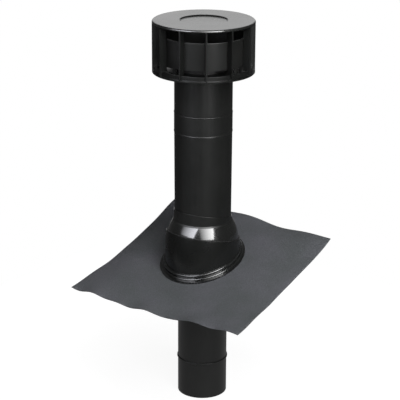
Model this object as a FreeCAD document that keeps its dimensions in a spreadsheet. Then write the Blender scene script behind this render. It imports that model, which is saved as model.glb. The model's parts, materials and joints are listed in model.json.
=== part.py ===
import FreeCAD, Part

import math
import os
import re

import Sketcher
from FreeCAD import Placement, Rotation, Vector

# Roof vent terminal: a ribbed cap on a cased pipe that turns and tilts in a ball flashing.
# +Z runs up the pipe, +Y points up the roof slope, and the origin is the centre of the duct
# spigot's open end. Sizes are millimetres and degrees.

SIZES = {
    # Duct spigot and the airway pipe above it.
    "spigot_radius": (55.0, "outer radius of the duct spigot and of the airway pipe"),
    "airway_wall": (3.0, "wall of the airway pipe"),
    "bead_height": (84.0, "middle of the stop bead above the open end"),
    "bead_width": (5.0, "height of the stop bead"),
    "bead_rise": (1.8, "how far the stop bead stands out"),
    "spigot_insert": (36.0, "length of the spigot's plug inside the airway pipe"),
    "insert_wall": (2.4, "wall of each plug that carries a seal"),
    "slip_gap": (0.2, "radial gap of a pushed-in joint"),
    "airway_rise": (35.0, "mouth of the airway pipe over the cap's lower edge"),
    # Casing, coupling band and neck.
    "casing_radius_low": (62.0, "outer radius of the casing at its foot"),
    "casing_radius_high": (63.0, "outer radius of the casing under the band"),
    "casing_wall": (2.4, "wall of the casing and of the neck"),
    "band_low": (614.0, "lower edge of the coupling band"),
    "band_high": (658.5, "upper edge of the coupling band"),
    "band_radius": (63.3, "outer radius of the coupling band"),
    "band_lip": (0.45, "how far the lips at the band's edges stand out"),
    "band_lip_width": (2.4, "height of each lip"),
    "band_plug": (26.0, "length of the band's plugs inside casing and neck"),
    "neck_radius": (62.9, "outer radius of the neck"),
    # Seals and rings.
    "seal_width": (4.0, "height of the ring seals"),
    "seal_depth": (1.2, "depth of the grooves for the ring seals"),
    "centring_height": (12.0, "height of the centring rings"),
    # Cap.
    "cap_radius": (110.0, "outer radius of the cap"),
    "cap_low": (745.0, "lower edge of the cap"),
    "cage_ring_height": (12.5, "height of the cage's bottom ring"),
    "cage_ring_wall": (2.6, "wall of the cage's bottom ring"),
    "cage_ring_inset": (5.0, "how far the ring's wall stands back behind the ribs"),
    "cage_flange_height": (3.5, "thickness of the flange at the ring's lower edge"),
    "cap_height": (112.0, "height of the cap with its lid"),
    "lid_rim_height": (5.0, "height of the lid's rim"),
    "lid_wall": (3.0, "thickness of the lid"),
    "lid_rim_width": (6.0, "width of the lid's rim"),
    "lid_round": (3.6, "rounding of the lid's top edge"),
    "recess_radius": (52.0, "radius of the round recess in the lid"),
    "recess_depth": (2.6, "depth of the recess"),
    "recess_slope": (3.0, "width of the recess's sloped wall"),
    "rib_count": (12.0, "ribs round the cap"),
    "rib_angle": (11.0, "direction of the first rib, from +X"),
    "rib_width": (3.4, "thickness of a rib"),
    "rib_depth": (16.5, "radial depth of a rib"),
    "deflector_gap": (0.9, "wind deflector ring inside the ribs"),
    "deflector_wall": (2.4, "wall of the wind deflector ring"),
    "deflector_rise": (21.5, "lower edge of the deflector ring over the cap's lower edge"),
    "deflector_height": (59.5, "height of the deflector ring"),
    "leg_count": (4.0, "legs under the deflector ring"),
    "leg_angle": (86.0, "direction of the first leg, from +X"),
    "leg_width": (9.0, "width of a leg"),
    "hook_reach": (2.6, "how far a leg's hook stands out"),
    "hook_height": (4.0, "height of a leg's hook"),
    "neck_socket": (3.0, "top of the neck above the cap's lower edge"),
    "tray_step": (2.0, "underside of the floor above the neck's top"),
    "tray_flat": (4.0, "width of the floor's level part round the neck"),
    "tray_drop": (5.0, "fall of the cap's floor from hub to rim"),
    "tray_wall": (2.6, "thickness of the cap's floor"),
    "tray_rim_height": (9.0, "height of the floor's upturned rim"),
    "hub_height": (10.0, "height of the hub round the airway pipe"),
    "hub_wall": (3.0, "wall of the hub"),
    "hang_bead": (3.0, "height of the airway pipe's bead that hangs on the hub"),
    "hub_plug": (20.0, "length of the hub's plug inside the neck"),
    "drain_count": (12.0, "drain slots in the cap's floor"),
    "drain_width": (14.0, "length of a drain slot"),
    "drain_depth": (5.0, "radial width of a drain slot"),
    # Ball that tilts in the flashing.
    "ball_rise": (48.0, "centre of the ball above the roof, along the pipe"),
    "ball_radius": (79.2, "outer radius of the ball"),
    "ball_wall": (2.6, "wall of the ball"),
    "ball_low": (50.0, "depth of the ball's lower edge under its centre"),
    "turn_gap": (0.35, "gap between the casing and the sleeve that it turns in"),
    "sleeve_wall": (2.0, "wall of the sleeve inside the ball"),
    "sleeve_floor": (3.0, "thickness of the sleeve's floor"),
    "floor_rise": (8.0, "top of the sleeve's floor, which carries the casing, over the centre"),
    "collar_wall": (1.6, "wall of the collar round the casing"),
    "collar_rise": (60.0, "collar's slanted top on the axis, over the ball's centre"),
    "collar_seal_rise": (32.0, "middle of the collar's seal over the ball's centre"),
    "cup_neck_drop": (18.0, "depth where the cup's wall becomes its rim"),
    "cup_rim_height": (9.0, "height of the cup's rim inside the hood"),
    "seat_gap": (0.3, "gap at a seat between pieces that move"),
    # Flashing base. Its own plane is the roof, which the sheet lies on.
    "roof_height": (320.0, "where the pipe's axis meets the top of the sheet"),
    "roof_angle": (18.0, "slope of the roof as it is shown"),
    "mouth_angle": (29.0, "angle between the base's mouth and its foot"),
    "mouth_rise": (8.2, "mouth above the ball's centre"),
    "mouth_play": (0.5, "mouth's bore outside the space that the ball turns in"),
    "skirt_wall": (2.6, "wall of the base"),
    "waist_angle": (21.1, "lean of the base's middle section"),
    "waist_back": (1.5, "centre of the middle section down the slope from the ball's centre"),
    "waist_drop": (5.2, "centre of the middle section under the ball's centre"),
    "waist_side_gap": (3.6, "side of the middle section outside the ball"),
    "waist_end_gap": (4.1, "end of the middle section outside the ball"),
    "foot_shift": (2.5, "centre of the foot up the slope from the axis"),
    "foot_half_width": (84.0, "half width of the base's wall at the foot"),
    "foot_stretch": (4.5, "how much longer than wide the foot is, each way"),
    "flange_reach": (10.5, "how far the thin flange under the lower bead stands out"),
    "flange_height": (2.2, "thickness of the flange"),
    "flange_shift": (2.5, "centre of the flange down the slope from the foot's centre"),
    "low_bead_reach": (5.6, "how far the lower foot bead stands out"),
    "low_bead_height": (7.0, "height of the lower foot bead"),
    "groove_reach": (1.2, "how far the groove between the beads stands out"),
    "high_bead_reach": (2.8, "how far the upper foot bead stands out"),
    "high_bead_low": (9.6, "underside of the upper foot bead"),
    "high_bead_high": (15.0, "top of the upper foot bead"),
    "ledge_width": (8.0, "width of the ledge inside the foot"),
    "ledge_height": (4.0, "thickness of the ledge inside the foot"),
    "seal_strip": (1.4, "thickness of the seal on the mouth"),
    # Clamp ring under the sheet, its screws and their bosses.
    "clamp_reach": (3.0, "how far the clamp ring reaches past the base's wall"),
    "clamp_height": (4.0, "thickness of the clamp ring"),
    "clamp_hole_radius": (61.0, "radius of the clamp ring's opening"),
    "clamp_slot": (34.5, "how far the opening runs on down the slope"),
    "screw_count": (8.0, "clamp screws"),
    "screw_radius": (2.0, "radius of a screw's shank"),
    "screw_head_radius": (3.4, "radius of a screw's head"),
    "screw_head_height": (2.2, "height of a screw's head"),
    "screw_bite": (6.5, "length of a screw inside its boss"),
    "screw_inset": (2.4, "screw line inside the base's wall"),
    "boss_radius": (3.4, "radius of a screw boss"),
    "boss_height": (8.2, "height of a screw boss"),
    "screw_gap": (0.15, "radial gap round a screw"),
    # Membrane sheet.
    "sheet_width": (449.7, "level edges of the sheet"),
    "sheet_length": (375.2, "edges of the sheet up the slope"),
    "sheet_thickness": (2.5, "thickness of the sheet"),
    "sheet_shift_x": (9.8, "centre of the sheet sideways from the axis"),
    "sheet_shift_y": (-12.4, "centre of the sheet up the slope from the axis"),
    "sheet_hole_inset": (8.0, "edge of the sheet's hole inside the base's wall"),
    "sheet_taper": (8.9, "each lower corner out, and each upper corner in"),
    "sheet_skew": (1.3, "upper edge to the right and lower edge to the left"),
    "sheet_sag": (15.2, "how far the left edge's middle hangs under the roof"),
}

doc = FreeCAD.newDocument("roof_vent_terminal")
sizes = doc.addObject("Spreadsheet::Sheet", "sizes")
for row, (alias, (size, note)) in enumerate(SIZES.items(), start=1):
    sizes.set(f"A{row}", note)
    sizes.set(f"B{row}", repr(size))
    sizes.setAlias(f"B{row}", alias)
doc.recompute()


def cell(text):
    """Turn the size names in an expression into references to the spreadsheet."""
    return re.sub(r"[a-z_]+", lambda m: f"sizes.{m[0]}" if m[0] in SIZES else m[0], text)


def value(text):
    """The number that an expression of size names gives now."""
    return float(sizes.evalExpression(cell(text)))


def bind(thing, prop, text):
    """Tie one property of an object to an expression of size names."""
    thing.setExpression(prop, cell(text))


# Places that several pieces share.
BALL_HEIGHT = "(roof_height + ball_rise)"
BALL_UP_SLOPE = "ball_rise * sin(roof_angle)"
BALL_OVER_ROOF = "ball_rise * cos(roof_angle)"
MOUTH_UP_SLOPE = f"{BALL_UP_SLOPE} + mouth_rise * sin(mouth_angle)"
MOUTH_OVER_ROOF = f"{BALL_OVER_ROOF} + mouth_rise * cos(mouth_angle)"
BEAD_TOP = "bead_height + bead_width / 2"
FLOOR_HEIGHT = f"({BALL_HEIGHT} + floor_rise)"
CASING_FOOT = f"{FLOOR_HEIGHT} + seat_gap"
CASING_TAPER = f"(casing_radius_high - casing_radius_low) / (band_low - {FLOOR_HEIGHT})"
SLEEVE_BORE = f"casing_radius_low + turn_gap + {CASING_TAPER} * (collar_rise - floor_rise)"
NECK_TOP = "cap_low + neck_socket"
TRAY_TOP = f"{NECK_TOP} + tray_step + tray_wall"
TRAY_RADIUS = "cap_radius - cage_ring_inset - cage_ring_wall - slip_gap"
TRAY_RIM_LOW = f"{NECK_TOP} + tray_step - tray_drop"
HUB_TOP = f"{NECK_TOP} + hub_height"
AIRWAY_TOP = "cap_low + airway_rise"
LID_TOP = "cap_low + cap_height"
LID_LOW = "cap_low + cap_height - lid_rim_height"
DEFLECTOR_RADIUS = "(cap_radius - rib_depth - deflector_gap)"
DEFLECTOR_LOW = "cap_low + deflector_rise"


def new_body(name):
    body = doc.addObject("PartDesign::Body", name)
    body.Label = name
    return body


def origin_feature(body, role):
    return next(f for f in body.Origin.OriginFeatures if f.Role == role)


def new_sketch(body, name, role="XZ_Plane", lift="", shift="", lean="", spin=""):
    """A sketch on an origin plane, lifted, shifted, and leaned up the slope or spun."""
    sketch = body.newObject("Sketcher::SketchObject", name)
    sketch.AttachmentSupport = [(origin_feature(body, role), "")]
    sketch.MapMode = "FlatFace"
    axis = Vector(-1, 0, 0) if lean else Vector(0, 0, 1)
    sketch.AttachmentOffset = Placement(Vector(), Rotation(axis, 1 if lean or spin else 0))
    if lean or spin:
        bind(sketch, "AttachmentOffset.Rotation.Angle", lean or spin)
    if shift:
        bind(sketch, "AttachmentOffset.Base.y", shift)
    if lift:
        bind(sketch, "AttachmentOffset.Base.z", lift)
    return sketch


def pin_point(sketch, geo, pos, x, y):
    """Fix one point of a sketch at two expressions."""
    for kind, text in (("DistanceX", x), ("DistanceY", y)):
        index = sketch.addConstraint(Sketcher.Constraint(kind, -1, 1, geo, pos, value(text)))
        bind(sketch, f"Constraints[{index}]", text)


def outline(sketch, corners):
    """A closed outline. A corner is (x, y), or (x, y, centre height, turn) to start an arc."""
    count = len(corners)
    spots = [Vector(value(c[0]), value(c[1]), 0) for c in corners]
    first = sketch.GeometryCount
    for i, corner in enumerate(corners):
        start, end = spots[i], spots[(i + 1) % count]
        if len(corner) == 2:
            sketch.addGeometry(Part.LineSegment(start, end), False)
            continue
        middle_y = value(corner[2])
        rise = start.y - middle_y, end.y - middle_y
        if abs(start.x - end.x) > 1e-9:
            middle_x = (start.x**2 + rise[0]**2 - end.x**2 - rise[1]**2) / (2 * (start.x - end.x))
        middle = Vector(middle_x, middle_y, 0)
        radius = (start - middle).Length
        angles = [math.atan2(p.y - middle.y, p.x - middle.x) for p in (start, end)]
        if corner[3] < 0:
            angles.reverse()
        circle = Part.Circle(middle, Vector(0, 0, 1), radius)
        sketch.addGeometry(Part.ArcOfCircle(circle, *angles), False)
    for i, corner in enumerate(corners):
        geo = first + i
        following = first + (i + 1) % count
        backwards = len(corner) == 4 and corner[3] < 0
        next_corner = corners[(i + 1) % count]
        next_backwards = len(next_corner) == 4 and next_corner[3] < 0
        tail = 1 if backwards else 2
        head = 2 if next_backwards else 1
        sketch.addConstraint(Sketcher.Constraint("Coincident", geo, tail, following, head))
    for i, corner in enumerate(corners):
        backwards = len(corner) == 4 and corner[3] < 0
        pin_point(sketch, first + i, 2 if backwards else 1, corner[0], corner[1])
        if len(corner) == 4:
            index = sketch.addConstraint(
                Sketcher.Constraint("DistanceY", -1, 1, first + i, 3, value(corner[2])))
            bind(sketch, f"Constraints[{index}]", corner[2])
    return sketch


def add_circle(sketch, radius, x="0", y="0"):
    geo = sketch.addGeometry(
        Part.Circle(Vector(value(x), value(y), 0), Vector(0, 0, 1), value(radius)), False)
    pin_point(sketch, geo, 3, x, y)
    index = sketch.addConstraint(Sketcher.Constraint("Radius", geo, value(radius)))
    bind(sketch, f"Constraints[{index}]", radius)


def add_oval(sketch, half_width, half_length, y):
    """An ellipse whose long axis runs up the slope."""
    wide, long_, middle = value(half_width), value(half_length), value(y)
    ellipse = Part.Ellipse(Vector(0, middle + long_, 0), Vector(wide, middle, 0), Vector(0, middle, 0))
    geo = sketch.addGeometry(ellipse, False)
    sketch.exposeInternalGeometry(geo)
    pin_point(sketch, geo, 3, "0", y)
    sketch.addConstraint(Sketcher.Constraint("Vertical", geo + 1))
    for line, half in ((geo + 1, half_length), (geo + 2, half_width)):
        index = sketch.addConstraint(Sketcher.Constraint("Distance", line, 2 * value(half)))
        bind(sketch, f"Constraints[{index}]", f"2 * ({half})")


def feature(body, kind, name, **settings):
    """One feature of a body. A setting given as text is tied to the spreadsheet."""
    item = body.newObject(f"PartDesign::{kind}", name)
    for prop, setting in settings.items():
        if isinstance(setting, str):
            bind(item, prop, setting)
        else:
            setattr(item, prop, setting)
    body.Tip = item
    doc.recompute()
    return item


def turned(name, corners):
    """A body made by turning one outline about Z."""
    body = new_body(name)
    sketch = outline(new_sketch(body, f"{name}_outline"), corners)
    feature(body, "Revolution", f"{name}_turned", Profile=sketch,
            ReferenceAxis=(sketch, ["V_Axis"]), Angle="360")
    return body


def round_edges(body, radius, wanted):
    """Fillet the edges of the tip whose index and shape pass a test."""
    tip = body.Tip
    names = [f"Edge{i}" for i, edge in enumerate(tip.Shape.Edges, start=1) if wanted(edge)]
    return feature(body, "Fillet", f"{tip.Name}_rounded", Base=(tip, names), Radius=radius)


def on_roof(thing):
    """Stand a piece on the roof plane, which it then counts as its own XY plane."""
    thing.Placement = Placement(Vector(0, 0, 1), Rotation(Vector(1, 0, 0), 1))
    bind(thing, "Placement.Rotation.Angle", "roof_angle")
    bind(thing, "Placement.Base.z", "roof_height")


def ring_seal(name, bore, height):
    """A rubber ring that fills a groove outside a plug and ends just short of the tube."""
    inner = f"{bore} - slip_gap - seal_depth"
    outer = f"{bore} - slip_gap / 4"
    low = f"{height} - seal_width / 2"
    high = f"{height} + seal_width / 2"
    return turned(name, [(inner, low), (outer, low), (outer, high), (inner, high)])


def groove_corners(bore, height):
    """The corners of a seal's groove in a plug that fits a tube's bore."""
    face = f"{bore} - slip_gap"
    floor = f"{bore} - slip_gap - seal_depth"
    low = f"{height} - seal_width / 2"
    high = f"{height} + seal_width / 2"
    return [(face, low), (floor, low), (floor, high), (face, high)]


AIRWAY_BORE = "spigot_radius - airway_wall"
SPIGOT_SEAL = f"{BEAD_TOP} + spigot_insert / 2"


def duct_spigot():
    """The open end that a duct is pushed on, up to its stop bead, with a plug above."""
    plug = f"{AIRWAY_BORE} - slip_gap"
    plug_bore = f"{AIRWAY_BORE} - slip_gap - insert_wall"
    bead = "spigot_radius + bead_rise"
    corners = [
        ("spigot_radius", "0"),
        ("spigot_radius", "bead_height - bead_width / 2"),
        (bead, "bead_height - bead_width / 4"),
        (bead, "bead_height + bead_width / 4"),
        ("spigot_radius", BEAD_TOP),
        (plug, BEAD_TOP),
        *groove_corners(AIRWAY_BORE, SPIGOT_SEAL),
        (plug, f"{BEAD_TOP} + spigot_insert - 1"),
        (f"{plug} - 1", f"{BEAD_TOP} + spigot_insert"),
        (plug_bore, f"{BEAD_TOP} + spigot_insert"),
        (plug_bore, f"{BEAD_TOP} - 4"),
        (AIRWAY_BORE, "bead_height - bead_width"),
        (AIRWAY_BORE, "0"),
    ]
    return turned("duct_spigot", corners)


def airway_pipe():
    """The pipe that carries the air from the spigot to the cap."""
    corners = [
        (AIRWAY_BORE, BEAD_TOP),
        ("spigot_radius", BEAD_TOP),
        ("spigot_radius", HUB_TOP),
        ("spigot_radius + hub_wall", HUB_TOP),
        ("spigot_radius + hub_wall", f"{HUB_TOP} + hang_bead * 0.7"),
        ("spigot_radius", f"{HUB_TOP} + hang_bead"),
        ("spigot_radius", f"{AIRWAY_TOP} - 1"),
        ("spigot_radius - 1", AIRWAY_TOP),
        (AIRWAY_BORE, AIRWAY_TOP),
    ]
    return turned("airway_pipe", corners)


def casing():
    """The tapered outer tube from the ball to the coupling band."""
    corners = [
        ("casing_radius_low", CASING_FOOT),
        ("casing_radius_high", "band_low"),
        ("casing_radius_high - casing_wall", "band_low"),
        ("casing_radius_low - casing_wall", f"{CASING_FOOT} + casing_wall"),
        ("spigot_radius + 1.5", f"{CASING_FOOT} + casing_wall"),
        ("spigot_radius + 1.5", CASING_FOOT),
    ]
    return turned("casing", corners)


CASING_BORE = "casing_radius_high - casing_wall"
NECK_BORE = "neck_radius - casing_wall"
CASING_SEAL = "band_low - band_plug * 0.4"
NECK_SEAL = "band_high + band_plug * 0.4"
BAND_BORE = f"{NECK_BORE} - slip_gap - insert_wall"
BAND_SEAT = f"{CASING_BORE} - {CASING_TAPER} * band_plug"


def coupling_band():
    """The ring between casing and neck, with a lip at each edge and a plug each way."""
    low_plug = f"{BAND_SEAT} - slip_gap"
    high_plug = f"{NECK_BORE} - slip_gap"
    lip = "band_radius + band_lip"
    corners = [
        (BAND_BORE, "band_low - band_plug"),
        (f"{low_plug} - 0.8", "band_low - band_plug"),
        (low_plug, "band_low - band_plug + 1"),
        *groove_corners(BAND_SEAT, CASING_SEAL),
        (low_plug, "band_low"),
        ("band_radius", "band_low"),
        (lip, "band_low + band_lip_width / 4"),
        (lip, "band_low + band_lip_width * 3 / 4"),
        ("band_radius", "band_low + band_lip_width"),
        ("band_radius", "band_high - band_lip_width"),
        (lip, "band_high - band_lip_width * 3 / 4"),
        (lip, "band_high - band_lip_width / 4"),
        ("band_radius", "band_high"),
        (high_plug, "band_high"),
        *groove_corners(NECK_BORE, NECK_SEAL),
        (high_plug, "band_high + band_plug - 1"),
        (f"{high_plug} - 0.8", "band_high + band_plug"),
        (BAND_BORE, "band_high + band_plug"),
    ]
    return turned("coupling_band", corners)


def neck_pipe():
    """The short tube between the coupling band and the cap."""
    corners = [
        (NECK_BORE, "band_high"),
        ("neck_radius", "band_high"),
        ("neck_radius", NECK_TOP),
        (NECK_BORE, NECK_TOP),
    ]
    return turned("neck_pipe", corners)


def centring_ring(name, outer, low):
    """A ring that holds the airway pipe in the middle of the tube round it."""
    inner = "spigot_radius + slip_gap"
    high = f"{low} + centring_height"
    corners = [
        (inner, low),
        (f"{outer} - 0.6", low),
        (outer, f"{low} + 1"),
        (outer, f"{high} - 1"),
        (f"{outer} - 0.6", high),
        (inner, high),
    ]
    return turned(name, corners)


def lock_ring():
    """The ring on the airway pipe that keeps the casing down on the sleeve's floor."""
    low = f"{FLOOR_HEIGHT} - sleeve_floor - seat_gap - seal_width"
    high = f"{FLOOR_HEIGHT} - sleeve_floor - seat_gap"
    inner = "spigot_radius + slip_gap"
    outer = "casing_radius_low - 2"
    corners = [(inner, low), (f"{outer} - 1", low), (outer, f"{low} + 1"), (outer, high), (inner, high)]
    return turned("lock_ring", corners)


def cap_floor():
    """The cap's sloped floor: hub round the airway pipe, plug in the neck, drained rim."""
    hub_bore = "spigot_radius + slip_gap"
    plug = f"{NECK_BORE} - slip_gap"
    plug_bore = f"{NECK_BORE} - slip_gap - insert_wall"
    hub = f"{hub_bore} + hub_wall"
    rim_low = TRAY_RIM_LOW
    corners = [
        (plug_bore, f"{NECK_TOP} - hub_plug"),
        (plug, f"{NECK_TOP} - hub_plug"),
        (plug, NECK_TOP),
        ("neck_radius", NECK_TOP),
        ("neck_radius + tray_flat", f"{NECK_TOP} + tray_step"),
        (TRAY_RADIUS, rim_low),
        (TRAY_RADIUS, f"{rim_low} + tray_rim_height"),
        (f"{TRAY_RADIUS} - tray_wall", f"{rim_low} + tray_rim_height"),
        (f"{TRAY_RADIUS} - tray_wall", f"{rim_low} + tray_wall"),
        ("neck_radius + tray_flat", TRAY_TOP),
        (hub, TRAY_TOP),
        (hub, HUB_TOP),
        (hub_bore, HUB_TOP),
        (hub_bore, f"{NECK_TOP} - 1"),
    ]
    body = turned("cap_floor", corners)
    half = "drain_width / 2"
    far = f"{TRAY_RADIUS} - tray_wall - 1"
    near = f"{far} - drain_depth"
    sketch = new_sketch(body, "drain_outline", "XY_Plane", lift="cap_low - 2", spin="rib_angle")
    outline(sketch, [(near, f"-{half}"), (far, f"-{half}"), (far, half), (near, half)])
    drain = feature(body, "Pocket", "drain", Profile=sketch, Length="12", Reversed=True)
    pattern = feature(body, "PolarPattern", "drains", Originals=[drain],
                      Axis=(origin_feature(body, "Z_Axis"), [""]), Angle="360")
    pattern.Occurrences = int(value("drain_count"))
    bind(pattern, "Occurrences", "drain_count")
    return body


def deflector_ring():
    """The smooth ring behind the ribs, on hooked legs that stand on the cap's floor."""
    inner = f"{DEFLECTOR_RADIUS} - deflector_wall"
    corners = [
        (inner, DEFLECTOR_LOW),
        (DEFLECTOR_RADIUS, DEFLECTOR_LOW),
        (DEFLECTOR_RADIUS, f"{DEFLECTOR_LOW} + deflector_height"),
        (inner, f"{DEFLECTOR_LOW} + deflector_height"),
    ]
    body = turned("deflector_ring", corners)
    floor_slope = f"tray_drop / ({TRAY_RADIUS} - tray_wall - neck_radius - tray_flat)"
    floor_under = f"{TRAY_TOP} - ({inner} - neck_radius - tray_flat) * {floor_slope}"
    foot = f"{floor_under} + seat_gap"
    sketch = new_sketch(body, "leg_outline")
    outline(sketch, [
        (f"{inner} + 0.2", foot),
        (f"{DEFLECTOR_RADIUS} + hook_reach", foot),
        (f"{DEFLECTOR_RADIUS} + hook_reach", f"{foot} + hook_height"),
        (f"{DEFLECTOR_RADIUS} - 0.2", f"{foot} + hook_height + hook_reach"),
        (f"{DEFLECTOR_RADIUS} - 0.2", f"{DEFLECTOR_LOW} + 4"),
        (f"{inner} + 0.2", f"{DEFLECTOR_LOW} + 4"),
    ])
    leg = feature(body, "Pad", "leg", Profile=sketch, Length="leg_width", Midplane=True)
    pattern = feature(body, "PolarPattern", "legs", Originals=[leg],
                      Axis=(origin_feature(body, "Z_Axis"), [""]), Angle="360")
    bind(pattern, "Occurrences", "leg_count")
    body.Placement = Placement(Vector(), Rotation(Vector(0, 0, 1), 1))
    bind(body, "Placement.Rotation.Angle", "leg_angle")
    return body


def vent_cage():
    """The bottom ring of the cap, set back over a thin flange, and the ribs that carry the lid."""
    face = "cap_radius - cage_ring_inset"
    inner = f"{face} - cage_ring_wall"
    ring_top = "cap_low + cage_ring_height"
    ledge = f"{TRAY_RIM_LOW} + tray_rim_height"
    corners = [
        (inner, "cap_low"),
        ("cap_radius - 0.8", "cap_low"),
        ("cap_radius", "cap_low + 0.8"),
        ("cap_radius", "cap_low + cage_flange_height"),
        (face, "cap_low + cage_flange_height"),
        (face, ring_top),
        (f"{TRAY_RADIUS} - tray_wall", ring_top),
        (f"{TRAY_RADIUS} - tray_wall", ledge),
        (inner, ledge),
    ]
    body = turned("vent_cage", corners)
    sketch = new_sketch(body, "rib_outline")
    far = "sqrt(cap_radius ^ 2 - (rib_width / 2) ^ 2)"
    near = "cap_radius - rib_depth"
    root = f"{inner} + cage_ring_wall / 2"
    outline(sketch, [
        (root, "cap_low + cage_flange_height / 2"),
        (far, "cap_low + cage_flange_height / 2"),
        (far, LID_LOW),
        (near, LID_LOW),
        (near, ring_top),
        (root, f"{ring_top} - 1"),
    ])
    rib = feature(body, "Pad", "rib", Profile=sketch, Length="rib_width", Midplane=True)
    pattern = feature(body, "PolarPattern", "ribs", Originals=[rib],
                      Axis=(origin_feature(body, "Z_Axis"), [""]), Angle="360")
    bind(pattern, "Occurrences", "rib_count")
    body.Placement = Placement(Vector(), Rotation(Vector(0, 0, 1), 1))
    bind(body, "Placement.Rotation.Angle", "rib_angle")
    return body


def cap_lid():
    """The flat lid with a rounded edge, a rim below and a shallow round recess."""
    rim = "cap_radius - lid_rim_width"
    recess_floor = f"{LID_TOP} - recess_depth"
    foot = "recess_radius - recess_slope"
    corners = [
        ("0", f"{recess_floor} - lid_wall"),
        (f"{foot} + lid_wall", f"{recess_floor} - lid_wall"),
        (f"{foot} + lid_wall + recess_slope", f"{LID_TOP} - lid_wall"),
        (rim, f"{LID_TOP} - lid_wall"),
        (rim, LID_LOW),
        ("cap_radius", LID_LOW),
        ("cap_radius", LID_TOP),
        ("recess_radius", LID_TOP),
        (foot, recess_floor),
        ("0", recess_floor),
    ]
    body = turned("cap_lid", corners)
    rim_length = 2 * math.pi * value("cap_radius")
    top = value(LID_TOP)
    round_edges(body, "lid_round", lambda e: abs(e.Length - rim_length) < 1
                and abs(e.CenterOfMass.z - top) < 0.01)
    return body


def ball_reach(radius, drop):
    """Radius of the ball's round section at a distance from its centre."""
    return f"sqrt(({radius}) ^ 2 - ({drop}) ^ 2)"


MOUTH_BORE = ball_reach("ball_radius + seat_gap", "mouth_rise")
BALL_BORE = "ball_radius - ball_wall"
COLLAR = f"{SLEEVE_BORE} + collar_wall"
SLEEVE = f"{SLEEVE_BORE} + sleeve_wall"
COLLAR_SEAL = f"{BALL_HEIGHT} + collar_seal_rise"
COLLAR_HEIGHT = f"{BALL_HEIGHT} + collar_rise"


def ball_hood():
    """The ball's upper half, with the sleeve that the casing stands in and a slanted collar."""
    top = f"{COLLAR_HEIGHT} + ({COLLAR}) * tan(mouth_angle - roof_angle) + 2"
    collar_foot = f"{BALL_HEIGHT} + {ball_reach('ball_radius', COLLAR)}"
    sleeve_top = f"{BALL_HEIGHT} + {ball_reach(BALL_BORE, SLEEVE)}"
    groove = f"{SLEEVE_BORE} + seal_depth"
    seal_low = f"{COLLAR_SEAL} - seal_width / 2"
    seal_high = f"{COLLAR_SEAL} + seal_width / 2"
    floor_low = f"{FLOOR_HEIGHT} - sleeve_floor"
    corners = [
        (COLLAR, top),
        (COLLAR, collar_foot, BALL_HEIGHT, -1),
        ("ball_radius", BALL_HEIGHT),
        (BALL_BORE, BALL_HEIGHT, BALL_HEIGHT, 1),
        (SLEEVE, sleeve_top),
        (SLEEVE, floor_low),
        ("spigot_radius + 1.2", floor_low),
        ("spigot_radius + 1.2", FLOOR_HEIGHT),
        (SLEEVE_BORE, FLOOR_HEIGHT),
        (SLEEVE_BORE, seal_low),
        (groove, seal_low),
        (groove, seal_high),
        (SLEEVE_BORE, seal_high),
        (SLEEVE_BORE, top),
    ]
    body = turned("ball_hood", corners)
    cut = new_sketch(body, "collar_cut_outline", "XY_Plane", lift=COLLAR_HEIGHT,
                     lean="mouth_angle - roof_angle")
    add_circle(cut, "ball_radius * 1.2")
    feature(body, "Pocket", "collar_cut", Profile=cut, Length="ball_radius", Reversed=True)
    return body


def ball_cup():
    """The ball's lower half, whose rim plugs into the hood and whose edge clears the pipe."""
    low = f"{BALL_HEIGHT} - ball_low"
    neck = f"{BALL_HEIGHT} - cup_neck_drop"
    rim_top = f"{BALL_HEIGHT} + cup_rim_height"
    rim = f"{BALL_BORE} - slip_gap * 3"
    corners = [
        (ball_reach(BALL_BORE, "ball_low"), low),
        (ball_reach("ball_radius", "ball_low"), low, BALL_HEIGHT, 1),
        ("ball_radius", BALL_HEIGHT),
        (rim, BALL_HEIGHT),
        (f"{rim} - 0.6", rim_top),
        (f"{rim} - ball_wall", rim_top),
        (ball_reach(BALL_BORE, "cup_neck_drop"), neck, BALL_HEIGHT, -1),
    ]
    return turned("ball_cup", corners)


def collar_seal():
    """The rubber ring that seals the casing in the ball's sleeve."""
    inner = f"{SLEEVE_BORE} - slip_gap / 2"
    outer = f"{SLEEVE_BORE} + seal_depth"
    low = f"{COLLAR_SEAL} - seal_width / 2"
    high = f"{COLLAR_SEAL} + seal_width / 2"
    return turned("collar_seal", [(inner, low), (outer, low), (outer, high), (inner, high)])


def foot_oval(reach):
    """Half width and half length of the foot's oval, that far outside the base's wall."""
    return f"foot_half_width + {reach}", f"foot_half_width + foot_stretch + {reach}"


def screw_spots(sketch, radius):
    """One circle at each clamp screw."""
    half_width, half_length = foot_oval("0 - screw_inset")
    for i in range(int(value("screw_count"))):
        turn = f"({i} + 0.5) * 360 / screw_count"
        add_circle(sketch, radius, f"({half_width}) * cos({turn})",
                   f"foot_shift + ({half_length}) * sin({turn})")


def add_ball_clearance(body):
    """Cut the space that the ball needs, with its gap, out of a body on the roof plane."""
    hollow = body.newObject("PartDesign::SubtractiveSphere", f"{body.Name}_ball_space")
    hollow.AttachmentSupport = [(origin_feature(body, "XY_Plane"), "")]
    hollow.MapMode = "FlatFace"
    bind(hollow, "Radius", "ball_radius + seat_gap")
    bind(hollow, "AttachmentOffset.Base.y", BALL_UP_SLOPE)
    bind(hollow, "AttachmentOffset.Base.z", BALL_OVER_ROOF)
    body.Tip = hollow
    doc.recompute()


def oval_pad(body, name, reach, low, high, middle="foot_shift"):
    """A slab of the foot's oval outline between two heights."""
    sketch = new_sketch(body, f"{name}_outline", "XY_Plane", lift=low)
    add_oval(sketch, *foot_oval(reach), middle)
    return feature(body, "Pad", name, Profile=sketch, Length=f"{high} - ({low})")


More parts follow.
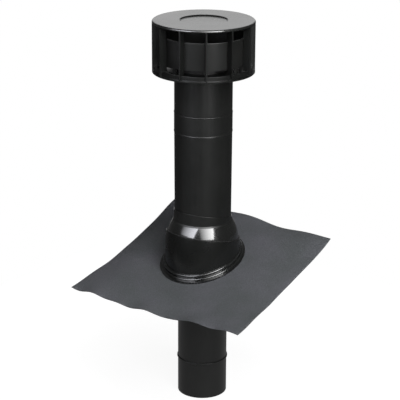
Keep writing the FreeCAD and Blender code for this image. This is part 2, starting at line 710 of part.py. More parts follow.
def skirt_loft(body, kind, name, reach):
    """The skirt's form from the foot's oval over its middle to the mouth's circle."""
    foot = new_sketch(body, f"{name}_foot", "XY_Plane")
    add_oval(foot, *foot_oval(reach), "foot_shift")
    waist = new_sketch(body, f"{name}_waist", "XY_Plane", lift=f"{BALL_OVER_ROOF} - waist_drop",
                       shift=f"{BALL_UP_SLOPE} - waist_back", lean="waist_angle")
    add_oval(waist, f"ball_radius + waist_side_gap + {reach}",
             f"ball_radius + waist_end_gap + {reach}", "0")
    mouth = new_sketch(body, f"{name}_mouth", "XY_Plane", lift=MOUTH_OVER_ROOF,
                       shift=MOUTH_UP_SLOPE, lean="mouth_angle")
    add_circle(mouth, f"{MOUTH_BORE} + mouth_play + skirt_wall + {reach}")
    feature(body, kind, name, Profile=foot, Sections=[waist, mouth])


def foot_base():
    """The base: a wedge-shaped skirt from a foot with two beads to the round mouth."""
    body = new_body("foot_base")
    oval_pad(body, "flange", "flange_reach", "0", "flange_height", "foot_shift - flange_shift")
    oval_pad(body, "low_bead", "low_bead_reach", "0", "low_bead_height")
    oval_pad(body, "bead_groove", "groove_reach", "0", "high_bead_low + 1")
    oval_pad(body, "high_bead", "high_bead_reach", "high_bead_low", "high_bead_high")
    for height, reach, radius in (
            ("low_bead_height", "low_bead_reach", "low_bead_height * 0.36"),
            ("high_bead_high", "high_bead_reach", "(high_bead_high - high_bead_low) * 0.42"),
            ("high_bead_low", "high_bead_reach", "(high_bead_reach - groove_reach) * 0.85")):
        level = value(height)
        widest = value(f"foot_half_width + {reach}")
        round_edges(body, radius, lambda e: abs(e.CenterOfMass.z - level) < 0.01
                    and abs(e.BoundBox.XLength / 2 - widest) < 0.2)
    skirt_loft(body, "AdditiveLoft", "skirt", "0")
    skirt_loft(body, "SubtractiveLoft", "hollow", "0 - skirt_wall")
    level = new_sketch(body, "mouth_level", "XY_Plane", lift=MOUTH_OVER_ROOF,
                       shift=MOUTH_UP_SLOPE, lean="mouth_angle")
    add_circle(level, f"{MOUTH_BORE} + skirt_wall * 1.2")
    feature(body, "Pocket", "mouth_face", Profile=level, Length="ball_radius / 2", Reversed=True)
    ledge = new_sketch(body, "ledge_outline", "XY_Plane")
    add_oval(ledge, *foot_oval("0.2 - skirt_wall"), "foot_shift")
    add_oval(ledge, *foot_oval("0 - ledge_width"), "foot_shift")
    feature(body, "Pad", "ledge", Profile=ledge, Length="ledge_height")
    bosses = new_sketch(body, "boss_outline", "XY_Plane")
    screw_spots(bosses, "boss_radius")
    feature(body, "Pad", "bosses", Profile=bosses, Length="boss_height")
    holes = new_sketch(body, "boss_hole_outline", "XY_Plane")
    screw_spots(holes, "screw_radius + screw_gap")
    feature(body, "Pocket", "boss_holes", Profile=holes, Length="screw_bite + 0.5", Reversed=True)
    on_roof(body)
    return body


def mouth_seal():
    """The flat rubber ring on the mouth's edge, which wipes the ball."""
    body = new_body("mouth_seal")
    sketch = new_sketch(body, "mouth_seal_outline", "XY_Plane", lift=MOUTH_OVER_ROOF,
                        shift=MOUTH_UP_SLOPE, lean="mouth_angle")
    add_circle(sketch, f"{MOUTH_BORE} + skirt_wall * 0.9")
    add_circle(sketch, MOUTH_BORE)
    feature(body, "Pad", "mouth_seal_ring", Profile=sketch, Length="seal_strip")
    on_roof(body)
    return body


def clamp_ring():
    """The ring under the sheet, screwed up into the base, which also seats the ball."""
    body = new_body("clamp_ring")
    sketch = new_sketch(body, "clamp_outline", "XY_Plane", lift="-sheet_thickness - clamp_height")
    add_oval(sketch, *foot_oval("clamp_reach"), "foot_shift")
    feature(body, "Pad", "clamp_plate", Profile=sketch, Length="clamp_height")
    near = BALL_UP_SLOPE
    far = f"{BALL_UP_SLOPE} - clamp_slot"
    opening = new_sketch(body, "clamp_opening_outline", "XY_Plane",
                         lift="-sheet_thickness - clamp_height - 1")
    outline(opening, [
        ("clamp_hole_radius", far),
        ("clamp_hole_radius", near, near, 1),
        ("-clamp_hole_radius", near),
        ("-clamp_hole_radius", far, far, 1),
    ])
    feature(body, "Pocket", "clamp_opening", Profile=opening, Length="clamp_height + 2",
            Reversed=True)
    heads = new_sketch(body, "clamp_head_outline", "XY_Plane",
                       lift="-sheet_thickness - clamp_height")
    screw_spots(heads, "screw_head_radius + screw_gap")
    feature(body, "Pocket", "clamp_heads", Profile=heads, Length="screw_head_height",
            Reversed=True)
    shanks = new_sketch(body, "clamp_shank_outline", "XY_Plane",
                        lift="-sheet_thickness - clamp_height")
    screw_spots(shanks, "screw_radius + screw_gap")
    feature(body, "Pocket", "clamp_shanks", Profile=shanks, Length="clamp_height + 1",
            Reversed=True)
    add_ball_clearance(body)
    on_roof(body)
    return body


def clamp_screws():
    """The screws that pull the clamp ring up against the sheet and the base."""
    body = new_body("clamp_screws")
    low = "-sheet_thickness - clamp_height"
    heads = new_sketch(body, "screw_heads_outline", "XY_Plane", lift=low)
    screw_spots(heads, "screw_head_radius")
    feature(body, "Pad", "screw_heads", Profile=heads, Length="screw_head_height")
    shanks = new_sketch(body, "screw_shanks_outline", "XY_Plane", lift=low)
    screw_spots(shanks, "screw_radius")
    feature(body, "Pad", "screw_shanks", Profile=shanks,
            Length="sheet_thickness + clamp_height + screw_bite")
    on_roof(body)
    return body


# Waves along the sheet's edges: shares of its sag for one, two, three and more half waves.
EDGE_WAVES = {
    "left": (-1.0, -0.06, 0.03),
    "right": (-0.5, 0.07, -0.08),
    "low": (-0.48, -0.09, 0.14),
    "high": (-0.29, -0.04, -0.22, -0.15, 0.14),
}
# How far each corner stands off the roof, in shares of the sag.
CORNER_LIFT = {("left", "low"): -0.51, ("right", "low"): 0.59,
               ("right", "high"): -0.39, ("left", "high"): 0.19}


def ramp(share, start):
    """Nothing up to a start, then growing to one at the edge."""
    return max(0.0, (share - start) / (1 - start)) ** 1.6


def edge_height(name, begin, end, along):
    """Height of one edge between its corners, in shares of the sag."""
    waves = sum(part * math.sin((i + 1) * math.pi * (along + 1) / 2)
                for i, part in enumerate(EDGE_WAVES[name]))
    return (begin * (1 - along) + end * (1 + along)) / 2 + waves


def sheet_lift(u, v):
    """Height of the sheet over the roof, at shares of its half width and half length."""
    reach = {"left": ramp(-u, 0.6), "right": ramp(u, 0.52),
             "low": ramp(-v, 0.58), "high": ramp(v, 0.72)}
    lift = 0.0
    for side in ("left", "right"):
        low, high = CORNER_LIFT[side, "low"], CORNER_LIFT[side, "high"]
        lift += reach[side] * edge_height(side, low, high, v)
    for end in ("low", "high"):
        left, right = CORNER_LIFT["left", end], CORNER_LIFT["right", end]
        lift += reach[end] * edge_height(end, left, right, u)
    for (side, end), corner in CORNER_LIFT.items():
        lift -= reach[side] * reach[end] * corner
    return value("sheet_sag") * lift


def membrane_sheet():
    """The soft sheet: flat under the foot, sagging and waving towards its edges."""
    half_width = value("sheet_width / 2")
    half_length = value("sheet_length / 2")
    skew = value("sheet_skew")
    count = 23
    steps = [-1 + 2 * i / (count - 1) for i in range(count)]
    poles = []
    for u in steps:
        row = []
        for v in steps:
            x = value("sheet_shift_x") + u * (half_width - v * value("sheet_taper")) + v * skew
            row.append(Vector(x, value("sheet_shift_y") + v * half_length, sheet_lift(u, v)))
        poles.append(row)
    inner_knots = count - 4
    knots = [i / (inner_knots + 1) for i in range(inner_knots + 2)]
    multiplicities = [4] + [1] * inner_knots + [4]
    surface = Part.BSplineSurface()
    surface.buildFromPolesMultsKnots(
        poles, multiplicities, multiplicities, knots, knots, False, False, 3, 3)
    thickness = value("sheet_thickness")
    sheet = surface.toShape().extrude(Vector(0, 0, -thickness))
    half_hole_width, half_hole_length = (value(half) for half in foot_oval("0 - sheet_hole_inset"))
    middle = Vector(0, value("foot_shift"), -2 * thickness)
    hole = Part.Ellipse(middle + Vector(0, half_hole_length, 0),
                        middle + Vector(half_hole_width, 0, 0), middle)
    tools = [Part.Face(Part.Wire(hole.toShape())).extrude(Vector(0, 0, 3 * thickness))]
    half_ring_width, half_ring_length = (value(half) for half in foot_oval("0 - screw_inset"))
    screws = int(value("screw_count"))
    for i in range(screws):
        turn = math.radians((i + 0.5) * 360 / screws)
        spot = middle + Vector(half_ring_width * math.cos(turn), half_ring_length * math.sin(turn), 0)
        tools.append(Part.makeCylinder(value("screw_radius + screw_gap"), 3 * thickness, spot))
    piece = doc.addObject("Part::Feature", "membrane_sheet")
    piece.Label = "membrane_sheet"
    piece.Shape = sheet.cut(tools)
    on_roof(piece)
    return piece


pieces = [
    duct_spigot(),
    ring_seal("spigot_seal", AIRWAY_BORE, SPIGOT_SEAL),
    airway_pipe(),
    lock_ring(),
    centring_ring("lower_centring_ring", "casing_radius_low - casing_wall - slip_gap",
                  f"{CASING_FOOT} + casing_wall"),
    casing(),
    coupling_band(),
    ring_seal("casing_seal", BAND_SEAT, CASING_SEAL),
    ring_seal("neck_seal", NECK_BORE, NECK_SEAL),
    centring_ring("upper_centring_ring", f"{NECK_BORE} - slip_gap", "band_high + band_plug"),
    neck_pipe(),
    cap_floor(),
    vent_cage(),
    deflector_ring(),
    cap_lid(),
    ball_hood(),
    ball_cup(),
    collar_seal(),
    foot_base(),
    mouth_seal(),
    membrane_sheet(),
    clamp_ring(),
    clamp_screws(),
]
doc.recompute()

for thing in doc.Objects:
    if "Invalid" in thing.State or "Error" in thing.State:
        raise RuntimeError(f"{thing.Label} did not build")
os.makedirs("parts", exist_ok=True)
for piece in pieces:
    if piece.Shape.isNull() or not piece.Shape.isValid():
        raise RuntimeError(f"{piece.Label} has no valid shape")
    piece.Shape.exportStep(f"parts/{piece.Label}.step")
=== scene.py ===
import math

import bmesh
import bpy
from mathutils import Matrix, Vector
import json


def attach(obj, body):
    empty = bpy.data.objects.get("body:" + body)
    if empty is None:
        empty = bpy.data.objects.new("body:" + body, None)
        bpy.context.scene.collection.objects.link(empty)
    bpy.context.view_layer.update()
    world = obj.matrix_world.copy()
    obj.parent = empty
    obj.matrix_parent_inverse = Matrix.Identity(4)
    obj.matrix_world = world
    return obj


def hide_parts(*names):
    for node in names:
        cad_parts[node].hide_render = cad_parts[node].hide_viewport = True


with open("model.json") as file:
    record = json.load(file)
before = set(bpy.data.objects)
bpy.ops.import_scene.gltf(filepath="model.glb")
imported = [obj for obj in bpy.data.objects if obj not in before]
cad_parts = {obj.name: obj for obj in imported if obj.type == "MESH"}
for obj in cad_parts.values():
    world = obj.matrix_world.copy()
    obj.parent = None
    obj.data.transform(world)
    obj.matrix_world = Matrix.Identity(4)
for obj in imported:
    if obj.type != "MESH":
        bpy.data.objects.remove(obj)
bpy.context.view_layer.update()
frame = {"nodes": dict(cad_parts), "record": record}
nodes = frame["nodes"]
scene = bpy.context.scene

CAMERA_SIDE = math.radians(38.0)


# Materials

# Scales of the noises, the larger the finer
CLOUD, FLOW, GRAIN, STREAKS = 16.0, 24.0, 1500.0, 160.0
SHEET_CLOUD, SHEET_GRAIN, SHEET_SCUFFS, SHEET_DENTS = 9.0, 700.0, 95.0, 60.0
ALONG_PIPE, ACROSS_SHEET = (1.0, 1.0, 0.02), (1.0, 2.4, 1.0)
SHEET_DARK, SHEET_LIGHT, SCUFF = (0.058, 0.064, 0.066), (0.081, 0.082, 0.093), (0.13, 0.135, 0.15)
COAT_IOR = 1.7


def add_node(tree, kind, **settings):
    node = tree.nodes.new(kind)
    for name, setting in settings.items():
        if name in node.inputs:
            node.inputs[name].default_value = setting
        else:
            setattr(node, name, setting)
    return node


def noise(tree, vector, scale, detail=4.0, roughness=0.55):
    node = add_node(tree, "ShaderNodeTexNoise", Scale=scale, Detail=detail, Roughness=roughness)
    tree.links.new(vector, node.inputs["Vector"])
    return node.outputs["Fac"]


def stretched(tree, vector, scale):
    """The same place, stretched along some axes, for streaks."""
    node = add_node(tree, "ShaderNodeMapping")
    node.inputs["Scale"].default_value = scale
    tree.links.new(vector, node.inputs["Vector"])
    return node.outputs["Vector"]


def spread(tree, value, low, high, start=0.3, end=0.7):
    """Map a noise value to a range."""
    node = add_node(tree, "ShaderNodeMapRange")
    for name, setting in (("From Min", start), ("From Max", end), ("To Min", low), ("To Max", high)):
        node.inputs[name].default_value = setting
    tree.links.new(value, node.inputs["Value"])
    return node.outputs["Result"]


def blend_colors(tree, fac, low, high):
    mix = add_node(tree, "ShaderNodeMix", data_type="RGBA")
    tree.links.new(fac, mix.inputs["Factor"])
    mix.inputs["A"].default_value = (*low, 1)
    mix.inputs["B"].default_value = (*high, 1)
    return mix.outputs["Result"]


def bumped(tree, height, distance, strength, normal=None):
    bump = add_node(tree, "ShaderNodeBump", Strength=strength, Distance=distance)
    tree.links.new(height, bump.inputs["Height"])
    if normal:
        tree.links.new(normal, bump.inputs["Normal"])
    return bump.outputs["Normal"]


def larger(tree, first, second):
    node = add_node(tree, "ShaderNodeMath", operation="MAXIMUM")
    tree.links.new(first, node.inputs[0])
    tree.links.new(second, node.inputs[1])
    return node.outputs["Value"]


def any_ray(tree, *kinds):
    """1 for a ray of one of these kinds."""
    path = add_node(tree, "ShaderNodeLightPath")
    result = path.outputs[kinds[0]]
    for kind in kinds[1:]:
        result = larger(tree, result, path.outputs[kind])
    return result


def moulded(name, dark, light, rough, specular=0.5, coat=0.0, coat_rough=0.05, grain=0.00003,
            edge=0.0009, wave=0.0, streaks=0.0):
    """Black plastic: cloudy gloss, fine grain, softened edges and the flow lines of its making."""
    material = bpy.data.materials.new(name)
    material.use_nodes = True
    tree = material.node_tree
    shader = tree.nodes["Principled BSDF"]
    shader.inputs["Specular IOR Level"].default_value = specular
    shader.inputs["Coat Weight"].default_value = coat
    shader.inputs["Coat Roughness"].default_value = coat_rough
    shader.inputs["Coat IOR"].default_value = COAT_IOR
    place = add_node(tree, "ShaderNodeTexCoord").outputs["Object"]
    cloud = noise(tree, place, CLOUD, 3.0)
    tree.links.new(blend_colors(tree, spread(tree, cloud, 0.0, 1.0), dark, light),
                   shader.inputs["Base Color"])
    gloss = cloud
    if streaks:
        lines = noise(tree, stretched(tree, place, ALONG_PIPE), STREAKS, 3.0)
        both = add_node(tree, "ShaderNodeMath", operation="ADD")
        tree.links.new(spread(tree, cloud, -0.5, 0.5), both.inputs[0])
        tree.links.new(spread(tree, lines, -streaks, streaks), both.inputs[1])
        gloss = spread(tree, both.outputs["Value"], 0.3, 0.7, -0.6, 0.6)
    tree.links.new(spread(tree, gloss, rough[0], rough[1]), shader.inputs["Roughness"])
    bevel = add_node(tree, "ShaderNodeBevel", samples=6)
    bevel.inputs["Radius"].default_value = edge
    normal = bumped(tree, noise(tree, place, GRAIN, 3.0), grain, 0.3, bevel.outputs["Normal"])
    if wave:
        normal = bumped(tree, noise(tree, place, FLOW, 1.0), wave, 0.5, normal)
    tree.links.new(normal, shader.inputs["Normal"])
    return material


def sheet_material():
    """Matt grey membrane: fine grain, faint cloudy tone and a few pale scuffs."""
    material = bpy.data.materials.new("membrane")
    material.use_nodes = True
    tree = material.node_tree
    shader = tree.nodes["Principled BSDF"]
    shader.inputs["Roughness"].default_value = 0.72
    shader.inputs["Specular IOR Level"].default_value = 0.3
    place = add_node(tree, "ShaderNodeTexCoord").outputs["Object"]
    cloud = blend_colors(tree, spread(tree, noise(tree, place, SHEET_CLOUD, 3.0), 0.0, 1.0),
                         SHEET_DARK, SHEET_LIGHT)
    grain = noise(tree, place, SHEET_GRAIN, 5.0, 0.7)
    toned = add_node(tree, "ShaderNodeMix", data_type="RGBA", blend_type="MULTIPLY")
    toned.inputs["Factor"].default_value = 1.0
    tree.links.new(cloud, toned.inputs["A"])
    tree.links.new(spread(tree, grain, 0.45, 1.55), toned.inputs["B"])
    scuffs = spread(tree, noise(tree, stretched(tree, place, ACROSS_SHEET), SHEET_SCUFFS, 4.0, 0.6),
                    0.0, 0.35, 0.62, 0.73)
    worn = add_node(tree, "ShaderNodeMix", data_type="RGBA")
    tree.links.new(scuffs, worn.inputs["Factor"])
    tree.links.new(toned.outputs["Result"], worn.inputs["A"])
    worn.inputs["B"].default_value = (*SCUFF, 1)
    tree.links.new(worn.outputs["Result"], shader.inputs["Base Color"])
    normal = bumped(tree, noise(tree, place, SHEET_DENTS, 2.0), 0.0006, 0.35)
    normal = bumped(tree, grain, 0.0005, 0.6, normal)
    tree.links.new(normal, shader.inputs["Normal"])
    return material


def zinc_material():
    """Zinc-plated steel."""
    material = moulded("steel", (0.50, 0.50, 0.51), (0.62, 0.61, 0.58), (0.24, 0.42), grain=0.00001)
    material.node_tree.nodes["Principled BSDF"].inputs["Metallic"].default_value = 1.0
    return material


DEEP_BLACK, BLACK = (0.0062, 0.0067, 0.0063), (0.0090, 0.0093, 0.0088)
DEEP_RUBBER, RUBBER = (0.010, 0.010, 0.010), (0.016, 0.016, 0.016)
LOOKS = {
    "satin_black": moulded("satin_black", DEEP_BLACK, BLACK, (0.34, 0.41), specular=0.5,
                           streaks=0.35),
    "gloss_black": moulded("gloss_black", DEEP_BLACK, BLACK, (0.24, 0.3), specular=0.3, coat=1.0,
                           coat_rough=0.11, wave=0.00025, edge=0.0007),
    "seal_rubber": moulded("seal_rubber", DEEP_RUBBER, RUBBER, (0.6, 0.75), specular=0.3),
    "steel": zinc_material(),
    "membrane": sheet_material(),
}
NODE_LOOKS = {
    "cap_lid": moulded("lid_black", DEEP_BLACK, BLACK, (0.24, 0.28), specular=1.0, coat=0.2,
                       coat_rough=0.2, edge=0.0014, grain=0.00001),
    "coupling_band": moulded("band_black", DEEP_BLACK, BLACK, (0.34, 0.4), specular=0.55,
                             streaks=0.3, edge=0.0018),
    "vent_cage": moulded("cage_black", DEEP_BLACK, DEEP_BLACK, (0.30, 0.38), specular=0.42),
    "deflector_ring": moulded("ring_black", DEEP_BLACK, BLACK, (0.31, 0.4), specular=0.42,
                              wave=0.0003, edge=0.002),
    "foot_base": moulded("base_black", DEEP_BLACK, DEEP_BLACK, (0.24, 0.3), specular=0.36, coat=0.12,
                         coat_rough=0.2, wave=0.0002),
}
BEAD_LOOK = moulded("bead_black", DEEP_BLACK, BLACK, (0.2, 0.26), specular=0.3, coat=1.0, edge=0.0007)
for entry in frame["record"]["subparts"]:
    mesh = nodes[entry["node"]].data
    mesh.materials.clear()
    mesh.materials.append(NODE_LOOKS.get(entry["node"], LOOKS[entry["material_slot"]]))


def second_look(node, look, chosen):
    """Another finish on the faces of a node whose middle is chosen."""
    mesh = nodes[node].data
    mesh.materials.append(look)
    for face in mesh.polygons:
        if chosen(nodes[node].matrix_world @ face.center):
            face.material_index = 1


COLLAR_RADIUS = 0.0665
second_look("ball_hood", LOOKS["satin_black"], lambda p: math.hypot(p.x, p.y) < COLLAR_RADIUS)


# Membrane sheet, in metres on the roof plane: x level, s up the slope, n off the roof

ROOF_ANGLE = math.radians(18.0)
ROOF_HEIGHT = 0.320
SHEET_WIDTH, SHEET_LENGTH = 0.4497, 0.3752
SHEET_SHIFT = (0.0098, -0.0124)
SHEET_TAPER, SHEET_SKEW = 0.0089, 0.0013
SHEET_SAG = 0.0152
THICK_AT_FOOT, THICK_AT_EDGE, THIN_FROM = 0.0025, 0.0014, 0.35
HOLE_MIDDLE, HOLE_HALF_WIDTH, HOLE_HALF_LENGTH = 0.0025, 0.076, 0.0805

EDGE_WAVES = {
    "left": (-1.0, -0.06, 0.03, 0, 0.046, -0.033, 0, -0.033),
    "right": (-0.5, 0.07, -0.08, 0.04, -0.02, 0, -0.026, -0.02, -0.02),
    "low": (-0.48, -0.09, 0.14, 0, 0.04, 0.072, -0.06, -0.12, 0.06, -0.053, -0.026, -0.086, -0.046),
    "high": (-0.29, -0.04, -0.22, -0.15, 0.14, 0.013, -0.02, 0.026),
}
BROAD_WAVES = 5
BROAD_START = {"left": 0.6, "right": 0.52, "low": 0.58, "high": 0.72}
SHORT_START = {"left": 0.8, "right": 0.8, "low": 0.76, "high": 0.8}
CORNER_LIFT = {("left", "low"): -0.51, ("right", "low"): 0.59,
               ("right", "high"): -0.39, ("left", "high"): 0.19}
COLUMNS_A_SIDE, RINGS, RING_SPACING, CUT_BULGE = 150, 42, 0.85, 0.0003


def roof_point(x, s, n):
    """A place on the roof plane in the model's frame."""
    return Vector((x, s * math.cos(ROOF_ANGLE) - n * math.sin(ROOF_ANGLE),
                   ROOF_HEIGHT + s * math.sin(ROOF_ANGLE) + n * math.cos(ROOF_ANGLE)))


def ramp(share, start, power=1.6):
    return max(0.0, (share - start) / (1 - start)) ** power


def edge_height(name, begin, end, along, first, last):
    """Height of one edge between its corners, from some of its waves, in shares of the sag."""
    waves = sum(part * math.sin((i + 1) * math.pi * (along + 1) / 2)
                for i, part in enumerate(EDGE_WAVES[name]) if first <= i < last)
    return (begin * (1 - along) + end * (1 + along)) / 2 + waves


def sheet_lift(u, v):
    """Height over the roof. Broad waves reach far in, short ones stay near the cut edge."""
    outward = {"left": -u, "right": u, "low": -v, "high": v}
    broad = {name: ramp(share, BROAD_START[name]) for name, share in outward.items()}
    short = {name: ramp(share, SHORT_START[name], 2) for name, share in outward.items()}
    lift = 0.0
    for side in ("left", "right"):
        low, high = CORNER_LIFT[side, "low"], CORNER_LIFT[side, "high"]
        lift += broad[side] * edge_height(side, low, high, v, 0, BROAD_WAVES)
        lift += short[side] * edge_height(side, 0, 0, v, BROAD_WAVES, len(EDGE_WAVES[side]))
    for end in ("low", "high"):
        left, right = CORNER_LIFT["left", end], CORNER_LIFT["right", end]
        lift += broad[end] * edge_height(end, left, right, u, 0, BROAD_WAVES)
        lift += short[end] * edge_height(end, 0, 0, u, BROAD_WAVES, len(EDGE_WAVES[end]))
    for (side, end), corner in CORNER_LIFT.items():
        lift -= broad[side] * broad[end] * corner
    return SHEET_SAG * lift


def sheet_place(u, v):
    """The place on the roof of a share of the sheet's width and length, from -1 to 1."""
    return (SHEET_SHIFT[0] + u * (SHEET_WIDTH / 2 - v * SHEET_TAPER) + v * SHEET_SKEW,
            SHEET_SHIFT[1] + v * SHEET_LENGTH / 2)


def sheet_share(x, s):
    """The share of the sheet's width and length at a place on the roof."""
    v = (s - SHEET_SHIFT[1]) / (SHEET_LENGTH / 2)
    return (x - SHEET_SHIFT[0] - v * SHEET_SKEW) / (SHEET_WIDTH / 2 - v * SHEET_TAPER), v


def make_sheet():
    """One continuous sheet round the base's opening, thinner towards its cut edges."""
    rim = []
    for i in range(4 * COLUMNS_A_SIDE):
        side, along = i // COLUMNS_A_SIDE, -1 + 2 * (i % COLUMNS_A_SIDE) / COLUMNS_A_SIDE
        rim.append(((along, -1), (1, along), (-along, 1), (-1, -along))[side])
    mesh = bmesh.new()
    columns = []
    for u, v in rim:
        x, s = sheet_place(u, v)
        turn = math.atan2((s - HOLE_MIDDLE) / HOLE_HALF_LENGTH, x / HOLE_HALF_WIDTH)
        inner = (HOLE_HALF_WIDTH * math.cos(turn), HOLE_MIDDLE + HOLE_HALF_LENGTH * math.sin(turn))
        top, bottom = [], []
        for k in range(RINGS + 1):
            t = (k / RINGS) ** RING_SPACING
            px, ps = inner[0] + (x - inner[0]) * t, inner[1] + (s - inner[1]) * t
            lift = sheet_lift(*sheet_share(px, ps))
            thick = THICK_AT_FOOT + (THICK_AT_EDGE - THICK_AT_FOOT) * ramp(t, THIN_FROM, 1.0)
            top.append(mesh.verts.new(roof_point(px, ps, lift)))
            bottom.append(mesh.verts.new(roof_point(px, ps, lift - thick)))
        outward = Vector((x - inner[0], s - inner[1])).normalized() * CUT_BULGE
        edge_lift = sheet_lift(*sheet_share(x, s))
        crown = [mesh.verts.new(roof_point(x + outward.x, s + outward.y,
                                           edge_lift - THICK_AT_EDGE * share))
                 for share in (0.25, 0.75)]
        columns.append((top, bottom, crown))
    for i, (top, bottom, crown) in enumerate(columns):
        next_top, next_bottom, next_crown = columns[(i + 1) % len(columns)]
        loop = top + crown + bottom[::-1]
        next_loop = next_top + next_crown + next_bottom[::-1]
        for k in range(len(loop)):
            j = (k + 1) % len(loop)
            mesh.faces.new((loop[k], loop[j], next_loop[j], next_loop[k]))
    bmesh.ops.recalc_face_normals(mesh, faces=mesh.faces)
    data = bpy.data.meshes.new("membrane")
    mesh.to_mesh(data)
    mesh.free()
    for face in data.polygons:
        face.use_smooth = True
    piece = bpy.data.objects.new("membrane", data)
    scene.collection.objects.link(piece)
    data.materials.append(LOOKS["membrane"])
    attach(piece, "flashing")
    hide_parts("membrane_sheet")


make_sheet()


# Polished beads round the foot of the base

BEADS_TOP = 0.0158


def over_roof(place):
    foot = roof_point(0, 0, 0)
    return (place - foot).dot(roof_point(0, 0, 1) - foot)


second_look("foot_base", BEAD_LOOK, lambda p: over_roof(p) < BEADS_TOP)


# Floor, white where the camera sees it, with the object's soft shadow

FLOOR_SIZE, FLOOR_HEIGHT = 1.6, -0.0005
FLOOR_MIRRORED = 0.25
FLOOR_DARK, FLOOR_LIGHT = (0.11, 0.11, 0.11), (0.12, 0.12, 0.12)
SHADOW_RADIUS, WHITE_RADIUS, SHADOW_GLOW = 0.2, 0.55, 0.93


def floor_material():
    material = bpy.data.materials.new("floor")
    material.use_nodes = True
    tree = material.node_tree
    shader = tree.nodes["Principled BSDF"]
    shader.inputs["Roughness"].default_value = 0.9
    shader.inputs["Specular IOR Level"].default_value = 0.1
    place = add_node(tree, "ShaderNodeTexCoord").outputs["Object"]
    tree.links.new(blend_colors(tree, noise(tree, place, 3.0), FLOOR_DARK, FLOOR_LIGHT),
                   shader.inputs["Base Color"])
    away = add_node(tree, "ShaderNodeVectorMath", operation="LENGTH")
    tree.links.new(place, away.inputs[0])
    glow = add_node(tree, "ShaderNodeEmission", Color=(1, 1, 1, 1))
    seen = add_node(tree, "ShaderNodeMath", operation="MULTIPLY")
    tree.links.new(spread(tree, away.outputs["Value"], SHADOW_GLOW, 1.0,
                          SHADOW_RADIUS, WHITE_RADIUS), seen.inputs[0])
    faint = spread(tree, any_ray(tree, "Is Glossy Ray"), 0.0, FLOOR_MIRRORED, 0.0, 1.0)
    tree.links.new(larger(tree, any_ray(tree, "Is Camera Ray", "Is Transmission Ray"), faint),
                   seen.inputs[1])
    tree.links.new(seen.outputs["Value"], glow.inputs["Strength"])
    both = add_node(tree, "ShaderNodeAddShader")
    tree.links.new(shader.outputs["BSDF"], both.inputs[0])
    tree.links.new(glow.outputs["Emission"], both.inputs[1])
    open_below = add_node(tree, "ShaderNodeMixShader")
    tree.links.new(add_node(tree, "ShaderNodeNewGeometry").outputs["Backfacing"],
                   open_below.inputs["Fac"])
    tree.links.new(both.outputs["Shader"], open_below.inputs[1])
    tree.links.new(add_node(tree, "ShaderNodeBsdfTransparent").outputs["BSDF"], open_below.inputs[2])
    tree.links.new(open_below.outputs["Shader"], tree.nodes["Material Output"].inputs["Surface"])
    return material


bpy.ops.mesh.primitive_plane_add(size=FLOOR_SIZE, location=(0, 0, FLOOR_HEIGHT))
floor = bpy.context.object
floor.name = "floor"
floor.data.materials.append(floor_material())


# Camera

FOCAL_PIXELS, PICTURE_PIXELS, SENSOR = 1472.0, 400, 36.0
PITCH, ROLL, YAW = (math.radians(a) for a in (18.91, 0.24, -0.12))
DISTANCE, EYE_HEIGHT = 3.060, 1.503

turn = Matrix.Rotation(CAMERA_SIDE, 3, "Z")
ahead = turn @ Vector((math.sin(YAW) * math.cos(PITCH), math.cos(YAW) * math.cos(PITCH),
                       -math.sin(PITCH)))
level = turn @ Vector((math.cos(YAW), -math.sin(YAW), 0))
above = level.cross(ahead)
right = level * math.cos(ROLL) + above * math.sin(ROLL)
up = above * math.cos(ROLL) - level * math.sin(ROLL)
eye = turn @ Vector((0, -DISTANCE, EYE_HEIGHT))
camera_data = bpy.data.cameras.new("camera")
camera_data.sensor_width = SENSOR
camera_data.lens = FOCAL_PIXELS * SENSOR / PICTURE_PIXELS
camera_data.clip_start, camera_data.clip_end = 0.05, 40
camera = bpy.data.objects.new("camera", camera_data)
camera.matrix_world = Matrix((
    (right.x, up.x, -ahead.x, eye.x),
    (right.y, up.y, -ahead.y, eye.y),
    (right.z, up.z, -ahead.z, eye.z),
    (0, 0, 0, 1)))
scene.collection.objects.link(camera)
scene.camera = camera


# Light

def direction(azimuth, elevation):
    """A direction whose azimuth is measured from the camera's side, to the right."""
    a, e = CAMERA_SIDE + math.radians(azimuth), math.radians(elevation)
    return Vector((math.sin(a) * math.cos(e), -math.cos(a) * math.cos(e), math.sin(e)))


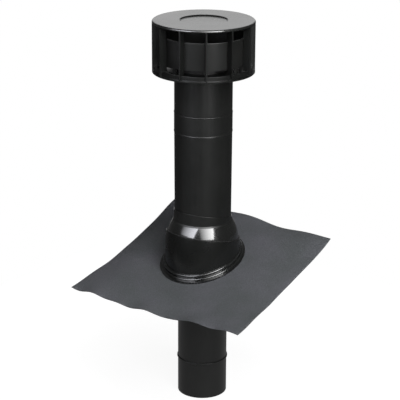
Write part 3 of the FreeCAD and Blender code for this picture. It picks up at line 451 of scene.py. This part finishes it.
def softbox(name, left, right, low, high, begin, end, tint=(1, 1, 1), mirrored_only=False,
            distance=2.4, target=(0, 0, 0.42)):
    """A square light as the object sees it, whose radiance goes from begin at the left to end."""
    light = bpy.data.lights.new(name, "AREA")
    light.shape = "RECTANGLE"
    middle = (low + high) / 2
    light.size = (2 * distance * math.tan(math.radians(right - left) / 2)
                  * math.cos(math.radians(middle)))
    light.size_y = 2 * distance * math.tan(math.radians(high - low) / 2)
    light.energy = math.pi * light.size * light.size_y
    light.color = tint
    light.use_nodes = True
    tree = light.node_tree
    across = add_node(tree, "ShaderNodeSeparateXYZ")
    tree.links.new(add_node(tree, "ShaderNodeNewGeometry").outputs["Parametric"], across.inputs[0])
    tree.links.new(spread(tree, across.outputs["X"], begin, end, 0.0, 1.0),
                   tree.nodes["Emission"].inputs["Strength"])
    lamp = bpy.data.objects.new(name, light)
    back = direction((left + right) / 2, middle)
    lamp.location = Vector(target) + back * distance
    lamp.rotation_euler = back.to_track_quat("Z", "Y").to_euler()
    lamp.visible_camera = False
    lamp.visible_diffuse = not mirrored_only
    scene.collection.objects.link(lamp)


softbox("key", -12, 42, 9, 62, 0.8, 12.5)
softbox("side", -84, -25, 12, 54, 0.3, 9.5, (0.93, 0.94, 1.0), mirrored_only=True)

WORLD_STRENGTH = 0.06


def toward(tree, side, low, high, absolute=False):
    """Goes from 0 to 1 as the ray's direction turns towards a side."""
    dot = add_node(tree, "ShaderNodeVectorMath", operation="DOT_PRODUCT")
    dot.inputs[1].default_value = side
    tree.links.new(add_node(tree, "ShaderNodeTexCoord").outputs["Generated"], dot.inputs[0])
    share = dot.outputs["Value"]
    if absolute:
        size = add_node(tree, "ShaderNodeMath", operation="ABSOLUTE")
        tree.links.new(share, size.inputs[0])
        share = size.outputs["Value"]
    return spread(tree, share, 0.0, 1.0, low, high)


def product(tree, first, second):
    node = add_node(tree, "ShaderNodeMath", operation="MULTIPLY")
    tree.links.new(first, node.inputs[0])
    tree.links.new(second, node.inputs[1])
    return node.outputs["Value"]


def make_world():
    """Faint light all round, white where the camera sees it and where gloss mirrors the back."""
    world = bpy.data.worlds.new("world")
    scene.world = world
    world.use_nodes = True
    tree = world.node_tree
    background = tree.nodes["Background"]
    background.inputs["Color"].default_value = (1.0, 1.0, 1.0, 1)
    background.inputs["Strength"].default_value = WORLD_STRENGTH
    white = add_node(tree, "ShaderNodeBackground", Color=(1, 1, 1, 1), Strength=1.0)
    behind = product(tree, toward(tree, direction(180, 14), 0.84, 0.97),
                     toward(tree, direction(90, 0), 0.42, 0.18, absolute=True))
    mirrored = product(tree, behind, any_ray(tree, "Is Glossy Ray"))
    choose = add_node(tree, "ShaderNodeMixShader")
    tree.links.new(larger(tree, any_ray(tree, "Is Camera Ray", "Is Transmission Ray"), mirrored),
                   choose.inputs["Fac"])
    tree.links.new(background.outputs["Background"], choose.inputs[1])
    tree.links.new(white.outputs["Background"], choose.inputs[2])
    tree.links.new(choose.outputs["Shader"], tree.nodes["World Output"].inputs["Surface"])


make_world()

scene.view_settings.view_transform = "Standard"
